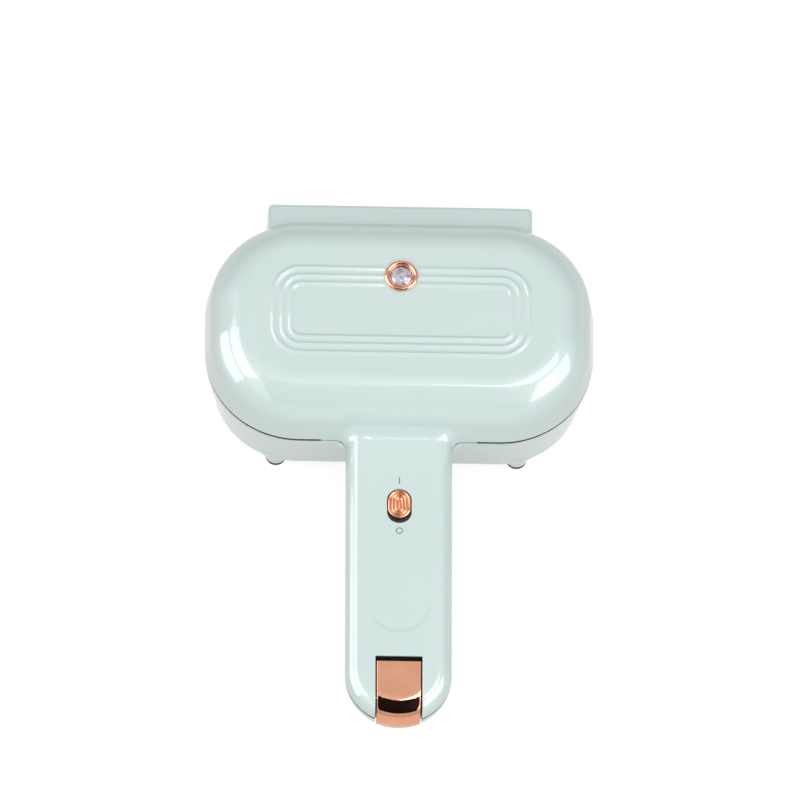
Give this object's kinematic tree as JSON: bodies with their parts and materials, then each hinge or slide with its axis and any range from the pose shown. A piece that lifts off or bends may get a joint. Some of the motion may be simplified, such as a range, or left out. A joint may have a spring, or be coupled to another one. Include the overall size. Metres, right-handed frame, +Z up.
{
  "type": "donut maker",
  "caption": "Clamshell donut maker with ring-mould baking plates, a long round-ended handle, a tip latch and a slide switch.",
  "frame": {"origin": "on the floor, below the middle of the whole object's box", "axes": "+Z up, the handle points towards -Y, +X to the right of someone facing the handle tip from the front"},
  "size_m": [0.234, 0.3366, 0.0946],
  "materials": {
    "mint_gloss": "glossy moulded shell",
    "mint_satin": "satin moulded cover",
    "rose_gold": "polished rose gold plating",
    "nonstick": "dark non-stick coating on cast aluminium",
    "crystal": "clear faceted",
    "lamp_glass": "clear",
    "sheet_metal": "plain sheet",
    "steel": "plain zinc plated",
    "rubber": "matte",
    "wire": "silicone insulation",
    "black_plastic": "fine matte"
  },
  "bodies": {
    "root": {"lower_housing": "mint_gloss", "lower_handle_cover": "mint_satin", "rear_stand": "mint_gloss", "lower_plate": "nonstick", "lower_heater": "steel", "lower_heat_shield": "sheet_metal", "lower_thermostat": "black_plastic", "thermal_fuse": "sheet_metal", "terminal_block": "black_plastic", "lower_wiring": "wire", "cord_gland": "rubber", "hinge_post_left": "steel", "hinge_post_right": "steel", "hinge_pin_left": "steel", "hinge_pin_right": "steel", "foot_pad_front_left": "rubber", "foot_pad_front_right": "rubber", "foot_pad_rear_left": "rubber", "foot_pad_rear_right": "rubber", "lower_plate_screws": "steel", "stand_screws": "steel", "lower_cover_screws": "steel"},
    "lid": {"upper_housing": "mint_gloss", "upper_handle_cover": "mint_satin", "upper_plate": "nonstick", "upper_heater": "steel", "upper_heat_shield": "sheet_metal", "upper_thermostat": "black_plastic", "indicator_bezel": "rose_gold", "indicator_jewel": "crystal", "indicator_lamp": "lamp_glass", "lamp_holder": "black_plastic", "switch_well": "black_plastic", "switch_body": "black_plastic", "latch_pin": "steel", "latch_spring": "steel", "upper_wiring": "wire", "upper_plate_screws": "steel", "upper_cover_screws": "steel"},
    "latch": {"latch_lever": "rose_gold"},
    "slider": {"power_slider": "rose_gold"}
  },
  "joints": [
    {"name": "lid_hinge", "type": "hinge", "parent": "root", "child": "lid", "pos_m": [0, 0.16225, 0.062], "axis": [-1, 0, 0], "range_deg": [0, 100]},
    {"name": "latch_pivot", "type": "hinge", "parent": "lid", "child": "latch", "pos_m": [0, -0.15325, 0.057], "axis": [-1, 0, 0], "range_deg": [0, 15], "stiffness_Nm_per_rad": 0.3},
    {"name": "power_switch_slide", "type": "slide", "parent": "lid", "child": "slider", "axis": [0, -1, 0], "range_m": [0, 0.002]}
  ]
}
